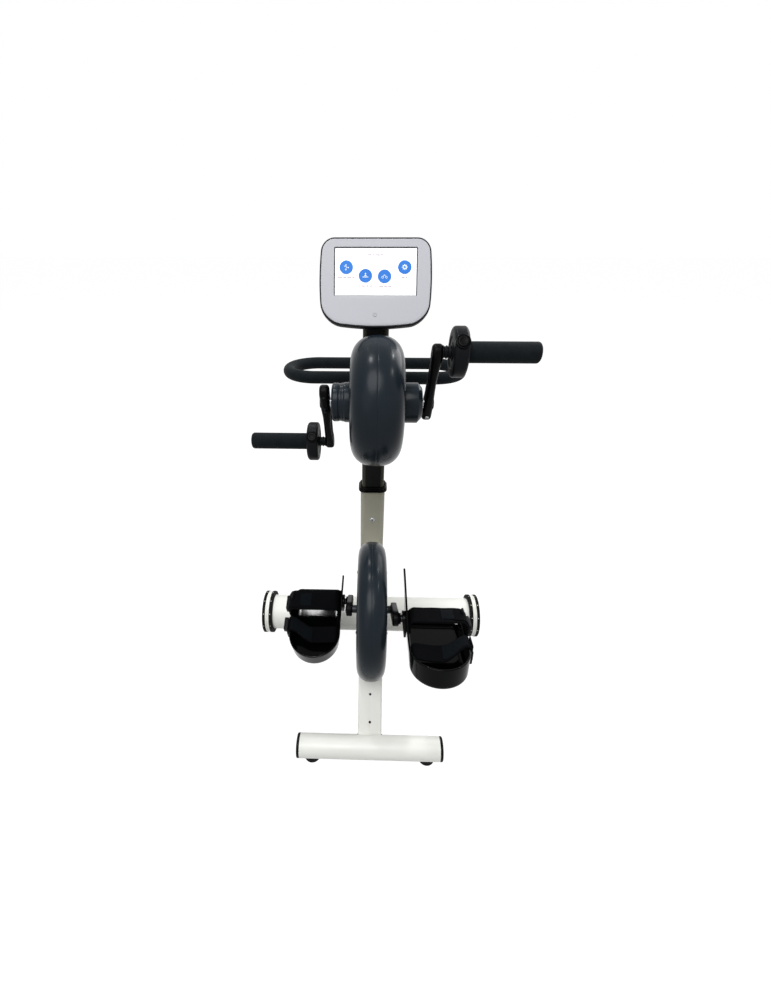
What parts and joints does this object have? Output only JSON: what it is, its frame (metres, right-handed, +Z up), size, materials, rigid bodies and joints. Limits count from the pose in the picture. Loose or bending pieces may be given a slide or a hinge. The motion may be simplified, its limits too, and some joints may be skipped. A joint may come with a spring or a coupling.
{
  "type": "active passive trainer",
  "caption": "Motor-driven arm and leg trainer: crank grips on a sliding mast, pedal foot shells on a white frame with front bar and rear rollers, and a tilting touch display.",
  "frame": {"origin": "on the floor, at the centre of the overall box in X and Y", "axes": "+Z up along the mast, +X to the seated user's right, and the user sits on the -Y side facing +Y"},
  "size_m": [0.629, 0.6924, 1.0401],
  "materials": {
    "white_paint": "semi-gloss off-white powder coat",
    "slate_shell": "satin dark slate moulded plastic",
    "black_plastic": "fine-grained black moulded plastic",
    "gloss_black": "high-gloss black moulded shell",
    "grip_foam": "closed-cell grip foam",
    "black_rubber": "black rubber",
    "steel": "turned steel",
    "mast_paint": "satin black powder coat",
    "silver_plastic": "fine silver-grey paint on plastic",
    "screen_glass": "cover glass over a lit display",
    "webbing": "black woven hook-and-loop webbing",
    "motor_case": "plated motor can"
  },
  "bodies": {
    "stand": {"front_bar": "white_paint", "front_cap_left": "black_plastic", "front_cap_right": "black_plastic", "front_foot_left": "black_rubber", "front_foot_right": "black_rubber", "front_strut": "white_paint", "keel_beam": "white_paint", "rear_tube": "white_paint", "rear_axle": "steel", "outer_column": "white_paint", "column_collar": "black_plastic", "power_inlet": "black_plastic", "leg_bracket": "white_paint", "leg_housing_left": "slate_shell", "leg_housing_right": "slate_shell", "leg_motor": "motor_case", "leg_belt": "black_rubber", "leg_bearing_left": "steel", "leg_bearing_right": "steel"},
    "roller_left": {"rear_roller_left": "white_paint"},
    "roller_right": {"rear_roller_right": "white_paint"},
    "lock_knob": {"mast_lock_knob": "black_plastic"},
    "leg_motor_rotor": {"leg_motor_pulley": "steel"},
    "leg_crankset": {"leg_crankshaft": "steel", "leg_drive_pulley": "steel", "leg_crank_left": "black_plastic", "leg_crank_right": "black_plastic"},
    "foot_left": {"foot_shell_left": "gloss_black", "instep_strap_left": "webbing", "heel_strap_left": "webbing"},
    "foot_right": {"foot_shell_right": "gloss_black", "instep_strap_right": "webbing", "heel_strap_right": "webbing"},
    "mast": {"mast_tube": "mast_paint", "arm_housing_left": "slate_shell", "arm_housing_right": "slate_shell", "arm_hub_left": "slate_shell", "arm_hub_right": "slate_shell", "arm_motor": "motor_case", "arm_belt": "black_rubber", "arm_bearing_left": "steel", "arm_bearing_right": "steel", "ring_handlebar": "mast_paint", "display_neck": "black_plastic", "tilt_pin": "steel"},
    "arm_motor_rotor": {"arm_motor_pulley": "steel"},
    "arm_crankset": {"arm_crankshaft": "steel", "arm_drive_pulley": "steel", "arm_crank_left": "black_plastic", "arm_crank_right": "black_plastic"},
    "grip_left": {"grip_flange_left": "black_plastic", "foam_grip_left": "grip_foam"},
    "grip_right": {"grip_flange_right": "black_plastic", "foam_grip_right": "grip_foam"},
    "button_left": {"grip_button_left": "black_plastic"},
    "button_right": {"grip_button_right": "black_plastic"},
    "display": {"display_case": "black_plastic", "display_bezel": "silver_plastic", "display_screen": "screen_glass"},
    "display_button": {"display_key": "silver_plastic"}
  },
  "joints": [
    {"name": "roller_left_spin", "type": "hinge", "parent": "stand", "child": "roller_left", "pos_m": [-0.301, 0.0912, 0.061], "axis": [1, 0, 0], "continuous": true},
    {"name": "roller_right_spin", "type": "hinge", "parent": "stand", "child": "roller_right", "pos_m": [0.301, 0.0912, 0.061], "axis": [1, 0, 0], "continuous": true},
    {"name": "knob_turn", "type": "hinge", "parent": "stand", "child": "lock_knob", "pos_m": [0, 0.1055, 0.462], "axis": [0, 1, 0], "range_deg": [-720, 0]},
    {"name": "leg_crank_turn", "type": "hinge", "parent": "stand", "child": "leg_crankset", "pos_m": [0, -0.1408, 0.3], "axis": [1, 0, 0], "continuous": true},
    {"name": "leg_motor_spin", "type": "hinge", "parent": "stand", "child": "leg_motor_rotor", "pos_m": [0, -0.0401, 0.3], "axis": [1, 0, 0], "continuous": true},
    {"name": "foot_left_swing", "type": "hinge", "parent": "leg_crankset", "child": "foot_left", "pos_m": [-0.07, -0.07671, 0.263], "axis": [1, 0, 0], "continuous": true},
    {"name": "foot_right_swing", "type": "hinge", "parent": "leg_crankset", "child": "foot_right", "pos_m": [0.07, -0.20489, 0.337], "axis": [1, 0, 0], "continuous": true},
    {"name": "mast_slide", "type": "slide", "parent": "stand", "child": "mast", "axis": [0, 0, 1], "range_m": [-0.03, 0.17]},
    {"name": "arm_crank_turn", "type": "hinge", "parent": "mast", "child": "arm_crankset", "pos_m": [0.003, -0.0418, 0.757], "axis": [1, 0, 0], "continuous": true},
    {"name": "arm_motor_spin", "type": "hinge", "parent": "mast", "child": "arm_motor_rotor", "pos_m": [0.003, 0.0369, 0.757], "axis": [1, 0, 0], "continuous": true},
    {"name": "grip_left_spin", "type": "hinge", "parent": "arm_crankset", "child": "grip_left", "pos_m": [-0.16, 0.02697, 0.64433], "axis": [1, 0, 0], "continuous": true},
    {"name": "grip_right_spin", "type": "hinge", "parent": "arm_crankset", "child": "grip_right", "pos_m": [0.16, -0.11057, 0.86967], "axis": [1, 0, 0], "continuous": true},
    {"name": "button_left_press", "type": "slide", "parent": "grip_left", "child": "button_left", "axis": [0, 0.8192, -0.5736], "range_m": [0, 0.003], "stiffness_N_per_m": 600, "springref_m": -0.001},
    {"name": "button_right_press", "type": "slide", "parent": "grip_right", "child": "button_right", "axis": [0, 0.8192, -0.5736], "range_m": [0, 0.003], "stiffness_N_per_m": 600, "springref_m": -0.001},
    {"name": "display_tilt", "type": "hinge", "parent": "mast", "child": "display", "pos_m": [-0.003, 0.05565, 0.9475], "axis": [1, 0, 0], "range_deg": [-25, 5]},
    {"name": "display_key_press", "type": "slide", "parent": "display", "child": "display_button", "axis": [0, 0.8965, -0.4431], "range_m": [0, 0.001], "stiffness_N_per_m": 800, "springref_m": -0.0005}
  ],
  "couplings": [
    {"joint": "leg_motor_spin", "follows": "leg_crank_turn", "ratio": 6},
    {"joint": "arm_motor_spin", "follows": "arm_crank_turn", "ratio": 3.8333}
  ]
}
